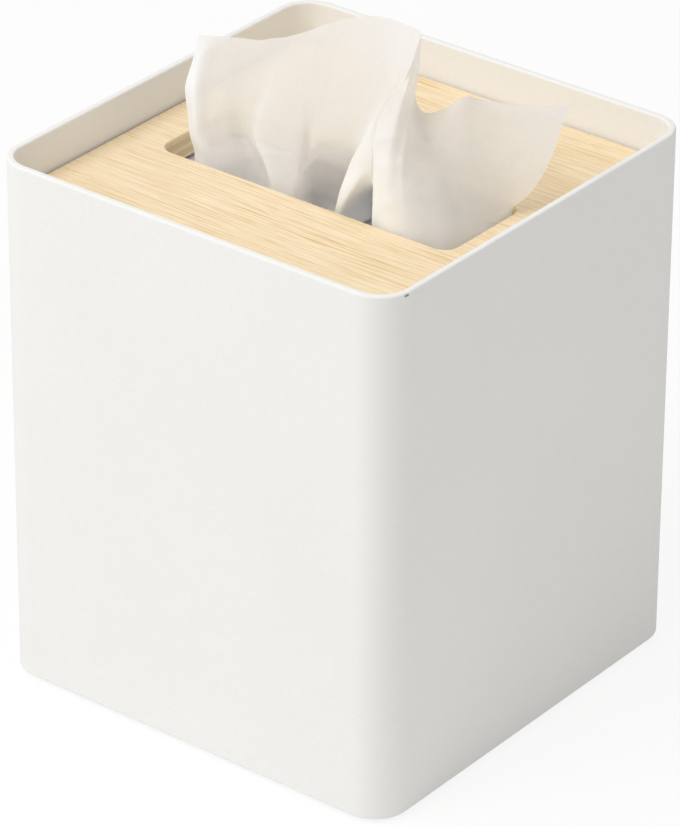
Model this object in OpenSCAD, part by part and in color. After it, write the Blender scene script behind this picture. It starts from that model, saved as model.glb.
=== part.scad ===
// Square tissue box: a powder-coated steel sleeve on a welded base pan, with a plywood lid that
// drops in below the rim, a cube carton of facial tissues inside and one tissue pulled up
// through the slot. Millimetres, +Z up. The origin is the middle of the footprint, on the
// surface that the rubber pads stand on. The slot and the wood grain run along X.

/* [Case] */
// Outside width of the steel sleeve, along X
case_w = 130; // [118:1:170]
// Outside depth of the steel sleeve, along Y
case_d = 130; // [118:1:170]
// Height of the steel sleeve
case_h = 154; // [110:1:200]
// Thickness of the sleeve's sheet steel with its coating
wall_t = 2; // [1:0.1:2.4]
// Outside radius of the four upright corners
corner_r = 10; // [6:0.5:16]
// Rounding of the sleeve's rim and lower edge
rim_r = 0.6; // [0.1:0.05:0.9]

/* [Lid] */
// Depth of the lid's top face below the rim
lid_recess = 11.3; // [5:0.1:20]
// Thickness of the plywood lid
lid_t = 7.5; // [5:0.5:10]
// Gap all round between the lid and the sleeve
lid_gap = 0.6; // [0.3:0.1:1.5]
// Easing of the lid's outer edges and of the slot's edges
lid_ease = 0.6; // [0.3:0.1:1]
// Length of the slot, along X
slot_w = 96; // [60:1:98]
// Width of the slot, along Y
slot_d = 32; // [24:1:45]
// Radius of the slot's corners
slot_r = 4.5; // [2:0.5:10]
// Distance of the slot's middle from the lid's middle, along X
slot_shift = -1.5; // [-4:0.5:4]

/* [Base] */
// Thickness of the pan's and the ledges' sheet steel with its coating
sheet_t = 1.2; // [0.8:0.1:1.6]
// Inside radius of the bends in the pan and in the ledges
bend_r = 1.2; // [0.5:0.1:2]
// Height of the pan's upturned flange, over all
pan_h = 8; // [5:0.5:15]
// Step from the sleeve's lower edge up to the underside of the pan
pan_step = 1; // [0.5:0.1:3]
// Diameter of the rubber pads
pad_d = 10; // [6:0.5:16]
// Distance that the pads stand below the sleeve
pad_drop = 1; // [0.5:0.1:3]
// Distance from the sleeve's sides to the middle of each pad
pad_inset = 16; // [12:0.5:25]

/* [Ledges] */
// Length of each ledge along its wall
ledge_l = 36; // [24:1:60]
// Reach of each ledge's shelf from the sleeve's inner face
ledge_reach = 7; // [5:0.5:9]
// Height of each ledge's welded flange, over all
ledge_h = 12; // [8:0.5:20]
// Radius of the shelf's free corners
ledge_r = 2; // [0.5:0.5:3]
// Diameter of the spot welds' dimples
weld_d = 4; // [2:0.5:5]
// Depth of the spot welds' dimples
weld_deep = 0.25; // [0.1:0.05:0.4]

/* [Carton] */
// Gap between the carton's sides and the ledges' shelves
carton_gap = 0.5; // [0.3:0.1:5]
// Gap between the carton's top and the lid
carton_head = 1; // [0.5:0.1:5]
// Thickness of the card
card_t = 0.5; // [0.3:0.1:0.7]
// Outside radius of the carton's folds
fold_r = 1.2; // [0.8:0.1:2]
// Width of the glued seam inside the carton
seam_w = 14; // [8:1:20]
// Reach of the carton's side flaps
side_flap = 26; // [15:1:40]
// Reach of the carton's front flap
front_flap = 34; // [15:1:40]
// Length of the carton's opening, along X
open_w = 78; // [50:1:84]
// Width of the carton's opening, along Y
open_d = 38; // [24:1:44]

/* [Film] */
// Thickness of the film behind the carton's opening
film_t = 0.2; // [0.1:0.05:0.3]
// Margin by which the film is glued round the carton's opening
film_lap = 6; // [4:0.5:9]
// Gap round the film in the flaps under it
film_gap = 1; // [0.5:0.5:2]
// Length of the film's slit
slit_l = 66; // [44:1:74]
// Width that the slit is pushed open to at its middle
slit_w = 7; // [5:0.5:10]

/* [Tissue] */
// Gap between the tissues and whatever they lie on or pass through
soft_gap = 0.3; // [0.2:0.1:0.8]
// Gap between the stack's sides and the carton
stack_gap = 1.5; // [1:0.1:4]
// Headroom above the stack inside the carton
stack_head = 14; // [8:1:40]
// Radius of the folds along the stack's top
stack_r = 6; // [4:1:24]
// Distance from the stack's sides to the pulled tissue's tail, which lies on it
tail_in = 4; // [2:0.5:10]
// Height of the tail's folded layers
tail_h = 2.9; // [2:0.1:4]
// Height of the pulled tissue's highest point above the lid
plume_h = 50; // [30:1:70]
// Half-thickness of the pulled tissue's gathered layers
ply_h = 1.2; // [0.8:0.1:1.6]

/* [Hidden] */

$fn = 64;
eps = 0.01;

// Levels, from the surface up
sleeve_z = pad_drop;
pan_z = sleeve_z + pan_step;
floor_z = pan_z + sheet_t;
rim_z = sleeve_z + case_h;
lid_top = rim_z - lid_recess;
lid_low = lid_top - lid_t;
carton_top = lid_low - carton_head;
film_top = carton_top - card_t;
stack_low = floor_z + 3 * card_t + soft_gap;
stack_top = carton_top - 3 * card_t - stack_head;

// Plan sizes
inner_w = case_w - 2 * wall_t;
inner_d = case_d - 2 * wall_t;
inner_r = corner_r - wall_t;
lid_w = inner_w - 2 * lid_gap;
lid_d = inner_d - 2 * lid_gap;
carton_w = inner_w - 2 * (ledge_reach + carton_gap);
carton_d = inner_d - 2 * (ledge_reach + carton_gap);
stack_w = carton_w - 2 * (2 * card_t + stack_gap);
stack_d = carton_d - 2 * (2 * card_t + stack_gap);
film_w = open_w + 2 * film_lap;
film_d = open_d + 2 * film_lap;

// Colours
coat = [0.94, 0.94, 0.93];
ash = [0.93, 0.83, 0.68];
rubber = [0.32, 0.32, 0.31];
card = [0.88, 0.87, 0.92];
clear = [0.85, 0.86, 0.92];
paper = [0.97, 0.97, 0.96];

// ---------- Shared shapes ----------

// A rounded rectangle centred on the origin, with true arcs at its corners.
module rounded_plan(w, d, r) {
    square([w, d - 2 * r], center = true);
    square([w - 2 * r, d], center = true);
    for (x = [-1, 1], y = [-1, 1])
        translate([x * (w / 2 - r), y * (d / 2 - r)])
            circle(r = r);
}

// A flat plate of a rounded rectangle, with its lower face at z.
module plate(w, d, r, z, t) {
    translate([0, 0, z])
        linear_extrude(t)
            rounded_plan(w, d, r);
}

// Carries a section round a rounded rectangle. The section's x counts outwards from the
// rectangle's line and its y counts upwards.
module carry_round(w, d, r) {
    for (k = [0 : 3]) {
        side = k % 2 == 0 ? d - 2 * r : w - 2 * r;
        across = k % 2 == 0 ? w / 2 : d / 2;
        along = k % 2 == 0 ? d / 2 : w / 2;
        rotate([0, 0, 90 * k])
            translate([across, 0, 0])
                rotate([90, 0, 0])
                    linear_extrude(side, center = true)
                        children();
        rotate([0, 0, 90 * k])
            translate([across - r, along - r, 0])
                rotate_extrude(angle = 90)
                    translate([r, 0])
                        children();
    }
}

// Places a section, extruded over a length, on one of the four sides of a rectangle.
// Side 0 is +X, 1 is +Y, 2 is -X and 3 is -Y.
module on_side(k, w, d, length) {
    rotate([0, 0, 90 * k])
        translate([k % 2 == 0 ? w / 2 : d / 2, 0, 0])
            rotate([90, 0, 0])
                linear_extrude(length, center = true)
                    children();
}

// Section of a strip bent through a right angle: up a wall, round the bend and inwards.
// The wall's outer face is x = 0 and the top of the turned strip is y = 0.
module bent_section(up, inwards, t, r_out) {
    translate([-t, -up])
        square([t, up - r_out]);
    translate([-inwards, -t])
        square([inwards - r_out, t]);
    translate([-r_out, -r_out])
        intersection() {
            difference() {
                circle(r = r_out);
                circle(r = r_out - t);
            }
            square(r_out);
        }
}

// The corner that a rounded edge takes off, on the outer side of the line x = 0.
module easing_section(r) {
    difference() {
        translate([-eps, -r])
            square([r + eps, r + eps]);
        translate([r, -r])
            circle(r = r);
    }
}

// ---------- Steel case ----------

// Section of the sleeve's wall, with both edges of the rim and of the foot rounded.
module wall_section() {
    for (y = [rim_r, case_h - rim_r], x = [rim_r, wall_t - rim_r])
        translate([x - wall_t, y])
            circle(r = rim_r);
    translate([-wall_t, rim_r])
        square([wall_t, case_h - 2 * rim_r]);
    translate([rim_r - wall_t, 0])
        square([wall_t - 2 * rim_r, case_h]);
}

// The rolled and welded sleeve, open above and below.
module case_shell() {
    color(coat)
        translate([0, 0, sleeve_z])
            carry_round(case_w, case_d, corner_r)
                wall_section();
}

// The shallow pan that closes the sleeve, with its flange turned up along the wall.
module base_pan() {
    bend_out = bend_r + sheet_t;
    flat_r = max(inner_r - bend_out, eps);
    color(coat) {
        plate(inner_w - 2 * bend_out, inner_d - 2 * bend_out, flat_r, pan_z, sheet_t);
        translate([0, 0, pan_z])
            carry_round(inner_w, inner_d, inner_r)
                mirror([0, 1])
                    bent_section(pan_h, bend_out + eps, sheet_t, bend_out);
    }
}

// A bent steel ledge, spot-welded to the sleeve, that the lid rests on.
module lid_ledge(k) {
    bend_out = bend_r + sheet_t;
    reach = k % 2 == 0 ? inner_w / 2 : inner_d / 2;
    color(coat)
        difference() {
            intersection() {
                translate([0, 0, lid_low])
                    on_side(k, inner_w, inner_d, ledge_l)
                        bent_section(ledge_h, ledge_reach, sheet_t, bend_out);
                rotate([0, 0, 90 * k])
                    translate([reach, 0, lid_low - ledge_h - eps])
                        linear_extrude(ledge_h + 2 * eps)
                            rounded_plan(2 * ledge_reach, ledge_l, ledge_r);
            }
            for (s = [-1, 1])
                rotate([0, 0, 90 * k])
                    translate([reach - sheet_t, s * ledge_l / 4, lid_low - ledge_h / 2 - bend_out / 2])
                        rotate([0, 90, 0])
                            cylinder(d = weld_d, h = 2 * weld_deep, center = true);
        }
}

// One rubber pad, glued under the pan near a corner, with its lower edge rounded.
module foot_pad(x, y) {
    pad_h = pan_z;
    round_r = pad_h / 4;
    color(rubber)
        translate([x * (case_w / 2 - pad_inset), y * (case_d / 2 - pad_inset), 0])
            rotate_extrude() {
                square([pad_d / 2 - round_r, pad_h]);
                translate([0, round_r])
                    square([pad_d / 2, pad_h - round_r]);
                translate([pad_d / 2 - round_r, round_r])
                    circle(r = round_r);
            }
}

// ---------- Lid ----------

// Section of the lid's outermost band, with both its edges eased.
module lid_edge_section() {
    for (y = [lid_ease, lid_t - lid_ease])
        translate([-lid_ease, y])
            circle(r = lid_ease);
    translate([-lid_ease, lid_ease])
        square([lid_ease, lid_t - 2 * lid_ease]);
    translate([-2 * lid_ease, 0])
        square([lid_ease, lid_t]);
}

// The plywood board, with its slot and every edge eased.
module lid_board() {
    lid_r = inner_r - lid_gap;
    core_in = 1.5 * lid_ease;
    color(ash)
        difference() {
            union() {
                plate(lid_w - 2 * core_in, lid_d - 2 * core_in, lid_r - core_in, lid_low, lid_t);
                translate([0, 0, lid_low])
                    carry_round(lid_w, lid_d, lid_r)
                        lid_edge_section();
            }
            translate([slot_shift, 0, 0])
                plate(slot_w, slot_d, slot_r, lid_low - eps, lid_t + 2 * eps);
            translate([slot_shift, 0, lid_top])
                carry_round(slot_w, slot_d, slot_r)
                    easing_section(lid_ease);
            translate([slot_shift, 0, lid_low])
                carry_round(slot_w, slot_d, slot_r)
                    mirror([0, 1])
                        easing_section(lid_ease);
        }
}

// ---------- Carton ----------

// The four flaps that close one end: two at the sides, then the front one, then the outer
// panel, which is hinged on the back wall and covers the whole end.
module carton_end() {
    fold_l = carton_d - 2 * fold_r;
    up = fold_r + 3 * card_t;
    for (k = [0, 2])
        translate([0, 0, -2 * card_t])
            on_side(k, carton_w, carton_d, fold_l)
                bent_section(up - 2 * card_t, side_flap, card_t, fold_r);
    translate([0, 0, -card_t])
        on_side(3, carton_w, carton_d, carton_w - 2 * fold_r)
            bent_section(up - card_t, front_flap, card_t, fold_r);
    on_side(1, carton_w, carton_d, carton_w - 2 * fold_r)
        bent_section(up, carton_d, card_t, fold_r);
}

// The folded carton: four walls with a glued seam, a closed bottom and a top with an opening.
module tissue_carton() {
    wall_z = fold_r + 2 * card_t;
    wall_h = carton_top - floor_z - 2 * wall_z;
    color(card)
        difference() {
            union() {
                translate([0, 0, floor_z + wall_z])
                    linear_extrude(wall_h)
                        difference() {
                            rounded_plan(carton_w, carton_d, fold_r);
                            rounded_plan(carton_w - 2 * card_t, carton_d - 2 * card_t, fold_r - card_t);
                        }
                translate([carton_w / 2 - 2 * card_t, carton_d / 2 - fold_r - seam_w, floor_z + wall_z])
                    cube([card_t, seam_w, wall_h]);
                translate([0, 0, carton_top])
                    carton_end();
                translate([0, 0, floor_z])
                    mirror([0, 0, 1])
                        carton_end();
            }
            plate(open_w, open_d, open_d / 2 - eps, carton_top - 4 * card_t, 5 * card_t);
            plate(film_w + 2 * film_gap, film_d + 2 * film_gap, fold_r, carton_top - 4 * card_t, 3 * card_t);
        }
}

// The film glued under the carton's top, with a slit that bows open round the tissue.
module slit_film() {
    bow_r = (slit_l * slit_l / 4 + slit_w * slit_w / 4) / slit_w;
    color(clear, 0.6)
        translate([0, 0, film_top - film_t])
            linear_extrude(film_t)
                difference() {
                    rounded_plan(film_w, film_d, fold_r);
                    intersection() {
                        translate([0, bow_r - slit_w / 2])
                            circle(r = bow_r, $fn = 4 * $fn);
                        translate([0, slit_w / 2 - bow_r])
                            circle(r = bow_r, $fn = 4 * $fn);
                    }
                }
}

// ---------- Tissues ----------

// The pile of folded tissues, with its top turned over in soft folds.
module tissue_stack() {
    low_r = stack_r / 4;
    color(paper)
        translate([0, 0, stack_low])
            rotate([90, 0, 0])
                linear_extrude(stack_d, center = true) {
                    h = stack_top - stack_low;
                    translate([-stack_w / 2, low_r])
                        square([stack_w, h - low_r - stack_r]);
                    translate([stack_r - stack_w / 2, low_r])
                        square([stack_w - 2 * stack_r, h - low_r]);
                    translate([low_r - stack_w / 2, 0])
                        square([stack_w - 2 * low_r, low_r + eps]);
                    for (s = [-1, 1]) {
                        translate([s * (stack_w / 2 - stack_r), h - stack_r])
                            circle(r = stack_r);
                        translate([s * (stack_w / 2 - low_r), low_r])
                            circle(r = low_r);
                    }
                }
}

// Folds of the pulled tissue, from its left edge to its right edge. Each gives its place level
// with the lid's top face, half way up and at the free edge. The slot's half length is 1 across,
// its half width is 1 to the back, and the tissue's height above the lid is 1 up.
tissue_folds = [
    [[-0.8, -0.6, 0], [-0.88, -0.74, 0.33], [-0.9, -0.3, 0.6]],
    [[-0.55, -0.25, 0], [-0.6, -0.4, 0.33], [-0.54, -0.18, 0.66]],
    [[-0.22, -0.58, 0], [-0.28, -0.56, 0.42], [-0.26, 0, 0.77]],
    [[-0.12, 0.14, 0], [-0.06, -0.18, 0.45], [0.04, 0.14, 0.92]],
    [[0.05, 0.25, 0], [0.13, -0.16, 0.55], [0.22, 0.16, 0.97]],
    [[0.23, -0.55, 0], [0.37, -0.62, 0.54], [0.41, 0.06, 0.99]],
    [[0.32, -0.08, 0], [0.47, -0.64, 0.58], [0.5, 0, 1]],
    [[0.46, -0.54, 0], [0.56, -0.78, 0.61], [0.56, -0.1, 0.98]],
    [[0.7, -0.55, 0], [0.63, -0.64, 0.57], [0.58, 0.1, 0.76]],
    [[0.91, -0.5, 0], [0.7, -0.28, 0.44], [0.61, 0.12, 0.55]],
    [[0.95, -0.06, 0], [0.81, 0.1, 0.42], [0.78, 0.28, 0.66]],
    [[0.96, 0.38, 0], [0.92, 0.5, 0.36], [0.92, 0.66, 0.63]],
    [[0.97, 0.7, 0], [1.14, 0.94, 0.27], [1.25, 1.1, 0.64]]
];

// Share of the gathered sheet's thickness that is left at its two edges.
edge_share = 0.25;

// The tissue below the lid: height, half length, half thickness and share of it at the edges.
// The tail lies on the stack, and the sheet rises from its middle and through the slit.
tail_low = stack_top + soft_gap;
tail_top = tail_low + tail_h;
tail_w = stack_w / 2 - tail_in;
tail_d = stack_d / 2 - tail_in;
rise_w = 0.4 * slit_l;
tissue_foot = [
    [tail_low, tail_w, tail_d, 1],
    [tail_top, tail_w, tail_d, 1],
    [tail_top + 1, 1.1 * rise_w, 1.3 * ply_h, edge_share],
    [film_top - film_t, rise_w, ply_h, edge_share],
    [film_top, rise_w, ply_h, edge_share]
];

// Between the film and the lid's top face the sheet opens out to the folds: height above the
// lid's underside, and shares of the folds' length and swing there.
throat_up = 3;
throat_w = 0.97;
throat_d = 0.95;

// Steps of the mesh across the sheet, and up from the lid's top face to the free edge.
across_steps = 36;
up_steps = 10;

// Value at share s along a list, on a straight line between neighbours.
function straight(list, s) =
    let (
        q = s * (len(list) - 1),
        i = min(floor(q), len(list) - 2)
    )
    list[i] + (q - i) * (list[i + 1] - list[i]);

// Value at share s along a list, level at each entry and smooth between them.
function rolling(list, s) =
    let (
        q = s * (len(list) - 1),
        i = min(floor(q), len(list) - 2),
        f = q - i
    )
    list[i] + f * f * (3 - 2 * f) * (list[i + 1] - list[i]);

// Half-thickness of the gathered sheet at share s across, given its half at the middle.
function ply(half, edge, s) = half * (edge + (1 - edge) * sin(180 * s));

// Place of a fold at share t of its height, on a parabola through its three places.
function fold_place(fold, t) =
    fold[0] * (1 - t) * (1 - 2 * t) + fold[1] * 4 * t * (1 - t) + fold[2] * t * (2 * t - 1);

// Point of the sheet's middle above the lid, at shares s across and t up to the free edge.
function sheet_point(s, t) =
    let (
        places = [for (fold = tissue_folds) fold_place(fold, t)],
        x = straight([for (p = places) p[0]], s),
        y = rolling([for (p = places) p[1]], s),
        z = rolling([for (p = places) p[2]], s)
    )
    [slot_shift + x * slot_w / 2, y * slot_d / 2, lid_top + z * plume_h];

// Point of the sheet's middle between the film and the lid's top face.
function throat_point(s) =
    let (p = sheet_point(s, 0))
    [throat_w * p[0], throat_d * p[1], lid_low + throat_up];

// Point of the tissue's front (face = -1) or back (face = 1), at row j and share s across.
function tissue_point(j, s, face) =
    let (
        feet = len(tissue_foot),
        row = tissue_foot[min(j, feet - 1)],
        middle = j < feet
            ? [row[1] * (2 * s - 1), 0, row[0]]
            : j == feet ? throat_point(s) : sheet_point(s, (j - feet - 1) / up_steps),
        half = j < feet ? ply(row[2], row[3], s) : ply(ply_h, edge_share, s)
    )
    middle + [0, face * half, 0];

// The pulled tissue as one closed solid, from the stack up to its free edge.
module pulled_tissue() {
    n = across_steps;
    ring = 2 * (n + 1);
    top_row = len(tissue_foot) + 1 + up_steps;
    points = [
        for (j = [0 : top_row], i = [0 : ring - 1])
            i <= n
                ? tissue_point(j, i / n, -1)
                : tissue_point(j, (ring - 1 - i) / n, 1)
    ];
    walls = [
        for (j = [0 : top_row - 1], i = [0 : ring - 1])
            let (a = j * ring + i, b = j * ring + (i + 1) % ring)
            each [[a, b + ring, b], [a, a + ring, b + ring]]
    ];
    low = [
        for (i = [0 : n - 1])
            each [[i, i + 1, ring - 1 - i], [i + 1, ring - 2 - i, ring - 1 - i]]
    ];
    high = [
        for (f = low)
            [for (v = [2 : -1 : 0]) f[v] + top_row * ring]
    ];
    color(paper)
        polyhedron(points, concat(walls, low, high));
}

// ---------- Nodes ----------

case_shell();
base_pan();
lid_board();
lid_ledge(0);  // ledge_right
lid_ledge(1);  // ledge_back
lid_ledge(2);  // ledge_left
lid_ledge(3);  // ledge_front
foot_pad(1, -1);  // foot_pad_1
foot_pad(1, 1);  // foot_pad_2
foot_pad(-1, 1);  // foot_pad_3
foot_pad(-1, -1);  // foot_pad_4
tissue_carton();
slit_film();
tissue_stack();
pulled_tissue();
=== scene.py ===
"""Looks of a square tissue box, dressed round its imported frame.

A powder-coated steel case carries a drop-in plywood lid. A cube carton stands inside, and one
tissue has been pulled up through the lid's slot. Lengths are in metres unless a name says mm.
"""

import logging
import math
from dataclasses import dataclass
from typing import Sequence

import bmesh
import bpy
import numpy as np
from mathutils import Matrix, Vector


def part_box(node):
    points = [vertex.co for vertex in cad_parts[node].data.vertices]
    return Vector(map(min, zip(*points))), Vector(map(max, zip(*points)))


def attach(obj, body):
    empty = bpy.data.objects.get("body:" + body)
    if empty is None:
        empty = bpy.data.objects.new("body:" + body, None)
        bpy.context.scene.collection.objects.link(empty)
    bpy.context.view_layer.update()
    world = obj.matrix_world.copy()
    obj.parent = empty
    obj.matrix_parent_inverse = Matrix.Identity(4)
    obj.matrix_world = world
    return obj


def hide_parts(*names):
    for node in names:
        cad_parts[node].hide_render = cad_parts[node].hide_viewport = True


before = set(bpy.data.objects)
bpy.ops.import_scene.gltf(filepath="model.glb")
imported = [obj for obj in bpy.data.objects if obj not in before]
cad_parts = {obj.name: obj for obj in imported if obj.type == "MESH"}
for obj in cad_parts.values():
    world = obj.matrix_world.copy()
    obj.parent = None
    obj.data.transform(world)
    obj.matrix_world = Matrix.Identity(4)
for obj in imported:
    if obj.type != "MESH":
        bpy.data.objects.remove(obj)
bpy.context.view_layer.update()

MM = 0.001
BODY = "root"
log = logging.getLogger("tissue_box")

Colour = tuple[float, float, float]


# --------------------------------------------------------------------------------------------
# Small tools
# --------------------------------------------------------------------------------------------


def linear(red: float, green: float, blue: float) -> Colour:
    """Turns a colour as a screen shows it, 0 to 1, into the linear colour that shaders take.

    Args:
        red: Red share on the screen.
        green: Green share on the screen.
        blue: Blue share on the screen.

    Returns:
        The same colour in linear light.
    """
    shown = np.array([red, green, blue], float)
    low = shown / 12.92
    high = ((shown + 0.055) / 1.055) ** 2.4
    return tuple(float(c) for c in np.where(shown <= 0.04045, low, high))


def node_box(name: str) -> tuple[np.ndarray, np.ndarray]:
    """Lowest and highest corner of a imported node, as arrays, in metres."""
    low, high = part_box(name)
    return np.array(low), np.array(high)


class Nodes:
    """A short hand for building one material's node tree."""

    def __init__(self, name: str) -> None:
        """Starts an empty node material.

        Args:
            name: Name of the material.
        """
        self.material = bpy.data.materials.new(name)
        self.material.use_nodes = True
        self.tree = self.material.node_tree
        self.tree.nodes.clear()

    def add(self, kind: str, values: dict | None = None, **settings: object) -> bpy.types.Node:
        """Adds a node, sets its properties and fills its inputs.

        Args:
            kind: Blender's type name, without the leading ShaderNode.
            values: Input name or index to a plain value or to an output socket.
            **settings: Properties of the node itself.

        Returns:
            The new node.
        """
        node = self.tree.nodes.new("ShaderNode" + kind)
        for key, value in settings.items():
            setattr(node, key, value)
        for key, value in (values or {}).items():
            if isinstance(value, bpy.types.NodeSocket):
                self.tree.links.new(value, node.inputs[key])
            else:
                node.inputs[key].default_value = value
        return node

    def place(self) -> bpy.types.NodeSocket:
        """The point on the object, in metres, in the object's own frame."""
        return self.add("TexCoord").outputs["Object"]

    def stretched(self, source: bpy.types.NodeSocket, scale: Sequence[float]) -> bpy.types.NodeSocket:
        """The source vector multiplied by a scale along each axis."""
        return self.add("Mapping", {"Vector": source, "Scale": tuple(scale)}).outputs[0]

    def noise(self, source: bpy.types.NodeSocket, scale: float, detail: float = 2.0,
              roughness: float = 0.5, distortion: float = 0.0) -> bpy.types.NodeSocket:
        """Noise from 0 to 1 at a number of cells for each metre of the source."""
        values = {"Vector": source, "Scale": scale, "Detail": detail,
                  "Roughness": roughness, "Distortion": distortion}
        return self.add("TexNoise", values).outputs["Fac"]

    def maths(self, kind: str, first: object, second: object = 0.0,
              clamp: bool = False) -> bpy.types.NodeSocket:
        """One sum on plain numbers or sockets."""
        return self.add("Math", {0: first, 1: second}, operation=kind, use_clamp=clamp).outputs[0]

    def ramp(self, source: bpy.types.NodeSocket, low: float, high: float,
             to_low: float = 0.0, to_high: float = 1.0) -> bpy.types.NodeSocket:
        """Maps the source from low..high to to_low..to_high with a smooth step, held at both ends."""
        values = {"Value": source, "From Min": low, "From Max": high,
                  "To Min": to_low, "To Max": to_high}
        return self.add("MapRange", values, interpolation_type="SMOOTHSTEP").outputs[0]

    def mix(self, share: object, first: object, second: object,
            blend: str = "MIX") -> bpy.types.NodeSocket:
        """Mixes two colours. A colour is a socket or three numbers."""
        node = self.add("Mix", data_type="RGBA", blend_type=blend)
        for socket, value in ((node.inputs[0], share), (node.inputs[6], first), (node.inputs[7], second)):
            if isinstance(value, bpy.types.NodeSocket):
                self.tree.links.new(value, socket)
            elif isinstance(value, tuple):
                socket.default_value = (*value, 1.0)
            else:
                socket.default_value = value
        return node.outputs[2]

    def tinted(self, colour: Colour, *shades: bpy.types.NodeSocket) -> bpy.types.NodeSocket:
        """A colour darkened by the product of two shades from 0 to 1."""
        shade = self.maths("MULTIPLY", *shades)
        grey = self.add("CombineColor", {0: shade, 1: shade, 2: shade}).outputs[0]
        return self.mix(1.0, colour, grey, "MULTIPLY")

    def bump(self, height: bpy.types.NodeSocket, depth: float, strength: float = 1.0,
             normal: bpy.types.NodeSocket | None = None) -> bpy.types.NodeSocket:
        """A bumped normal, for a height from 0 to 1 that stands for a depth in metres."""
        values: dict = {"Height": height, "Distance": depth, "Strength": strength}
        if normal is not None:
            values["Normal"] = normal
        return self.add("Bump", values).outputs[0]

    def finish(self, shader: bpy.types.NodeSocket) -> bpy.types.Material:
        """Joins the shader to the output and hands over the material."""
        self.add("OutputMaterial", {"Surface": shader})
        return self.material


# --------------------------------------------------------------------------------------------
# Finishes
# --------------------------------------------------------------------------------------------


@dataclass(frozen=True)
class PaintChip:
    """A small chip in the coat that shows the bare steel.

    Attributes:
        at: Middle of the chip, in metres.
        radius: Half the chip's width, in metres.
        flatness: Width of the chip for each unit of its height.
        depth: Depth of the chip, in metres.
        colour: Linear colour of the bare steel.
    """

    at: tuple[float, float, float]
    radius: float
    flatness: float = 2.0
    depth: float = 0.0001
    colour: Colour = linear(0.60, 0.59, 0.56)


@dataclass(frozen=True)
class PowderCoat:
    """Matt off-white powder coat with a fine sandy grain.

    Attributes:
        colour: Linear colour of the coat.
        grain: Grains for each metre.
        grain_depth: Height of a grain, in metres.
        peel: Waves of the orange peel for each metre.
        peel_depth: Height of the orange peel, in metres.
        roughness: How matt the coat is.
        chip: A chip in the coat, or None.
    """

    colour: Colour = linear(0.955, 0.952, 0.945)
    grain: float = 1500.0
    grain_depth: float = 0.00005
    peel: float = 260.0
    peel_depth: float = 0.00006
    roughness: float = 0.62
    chip: PaintChip | None = None

    def build(self, name: str) -> bpy.types.Material:
        """Builds the coat as a material."""
        n = Nodes(name)
        place = n.place()
        grain = n.noise(place, self.grain, 3.0, 0.6)
        peel = n.noise(place, self.peel, 2.0)
        cloud = n.noise(place, 25.0, 3.0)
        fleck = n.ramp(grain, 0.25, 0.75, 0.972, 1.0)
        colour = n.tinted(self.colour, fleck, n.ramp(cloud, 0.3, 0.7, 0.988, 1.0))
        rough = n.ramp(peel, 0.2, 0.8, self.roughness - 0.05, self.roughness + 0.05)
        normal = n.bump(grain, self.grain_depth, 0.8)
        normal = n.bump(peel, self.peel_depth, 0.6, normal)
        if self.chip is not None:
            away = n.add("VectorMath", {0: place, 1: self.chip.at}, operation="SUBTRACT").outputs[0]
            flat = n.stretched(away, (1.0, 1.0, self.chip.flatness))
            away = n.add("VectorMath", {0: flat}, operation="LENGTH").outputs["Value"]
            ragged = n.maths("MULTIPLY", n.noise(place, 1400.0, 2.0), self.chip.radius * 0.9)
            reach = n.maths("ADD", away, ragged)
            bare = n.ramp(reach, self.chip.radius * 1.1, self.chip.radius * 1.5, 1.0, 0.0)
            colour = n.mix(bare, colour, self.chip.colour)
            normal = n.bump(n.maths("SUBTRACT", 1.0, bare), self.chip.depth, 1.0, normal)
        shader = n.add("BsdfPrincipled", {
            "Base Color": colour, "Roughness": rough, "Normal": normal, "Specular IOR Level": 0.35})
        return n.finish(shader.outputs[0])


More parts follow.
